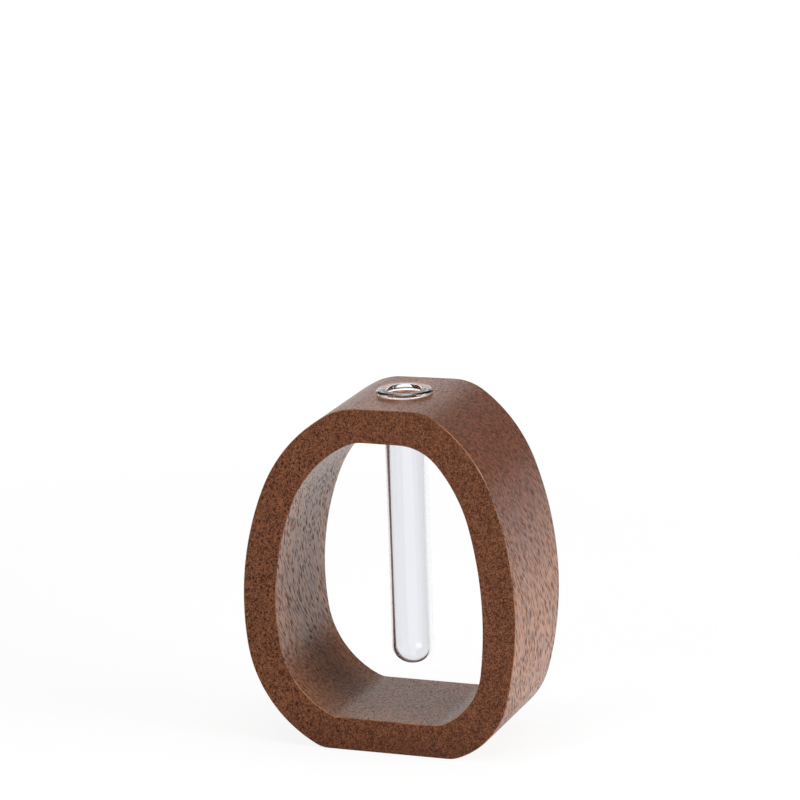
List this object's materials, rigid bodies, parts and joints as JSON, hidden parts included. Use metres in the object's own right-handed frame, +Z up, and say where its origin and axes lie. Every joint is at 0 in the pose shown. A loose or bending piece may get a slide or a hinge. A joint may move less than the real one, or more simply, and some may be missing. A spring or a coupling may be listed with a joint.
{
  "type": "test tube vase",
  "caption": "Small vase: a glass test tube with a flared rim hangs through the crown of a thick, egg-shaped walnut ring that stands on a flat base.",
  "frame": {"origin": "middle of the bottom of the vase's box, on the plane of the ring's flat base", "axes": "+Z up, square to the ring's flat base, +X to the right across the ring's front, -Y out of the ring's front face"},
  "size_m": [0.1008, 0.0516, 0.1266],
  "materials": {
    "walnut": "fine sanded and oiled to a low sheen",
    "clear_glass": "clear, fire polished rim"
  },
  "bodies": {
    "frame": {"wood_frame": "walnut"},
    "tube": {"glass_tube": "clear_glass"}
  },
  "joints": [
    {"name": "tube_lift", "type": "slide", "parent": "frame", "child": "tube", "axis": [-0.0199, 0, 0.9998], "range_m": [0, 0.105]}
  ]
}
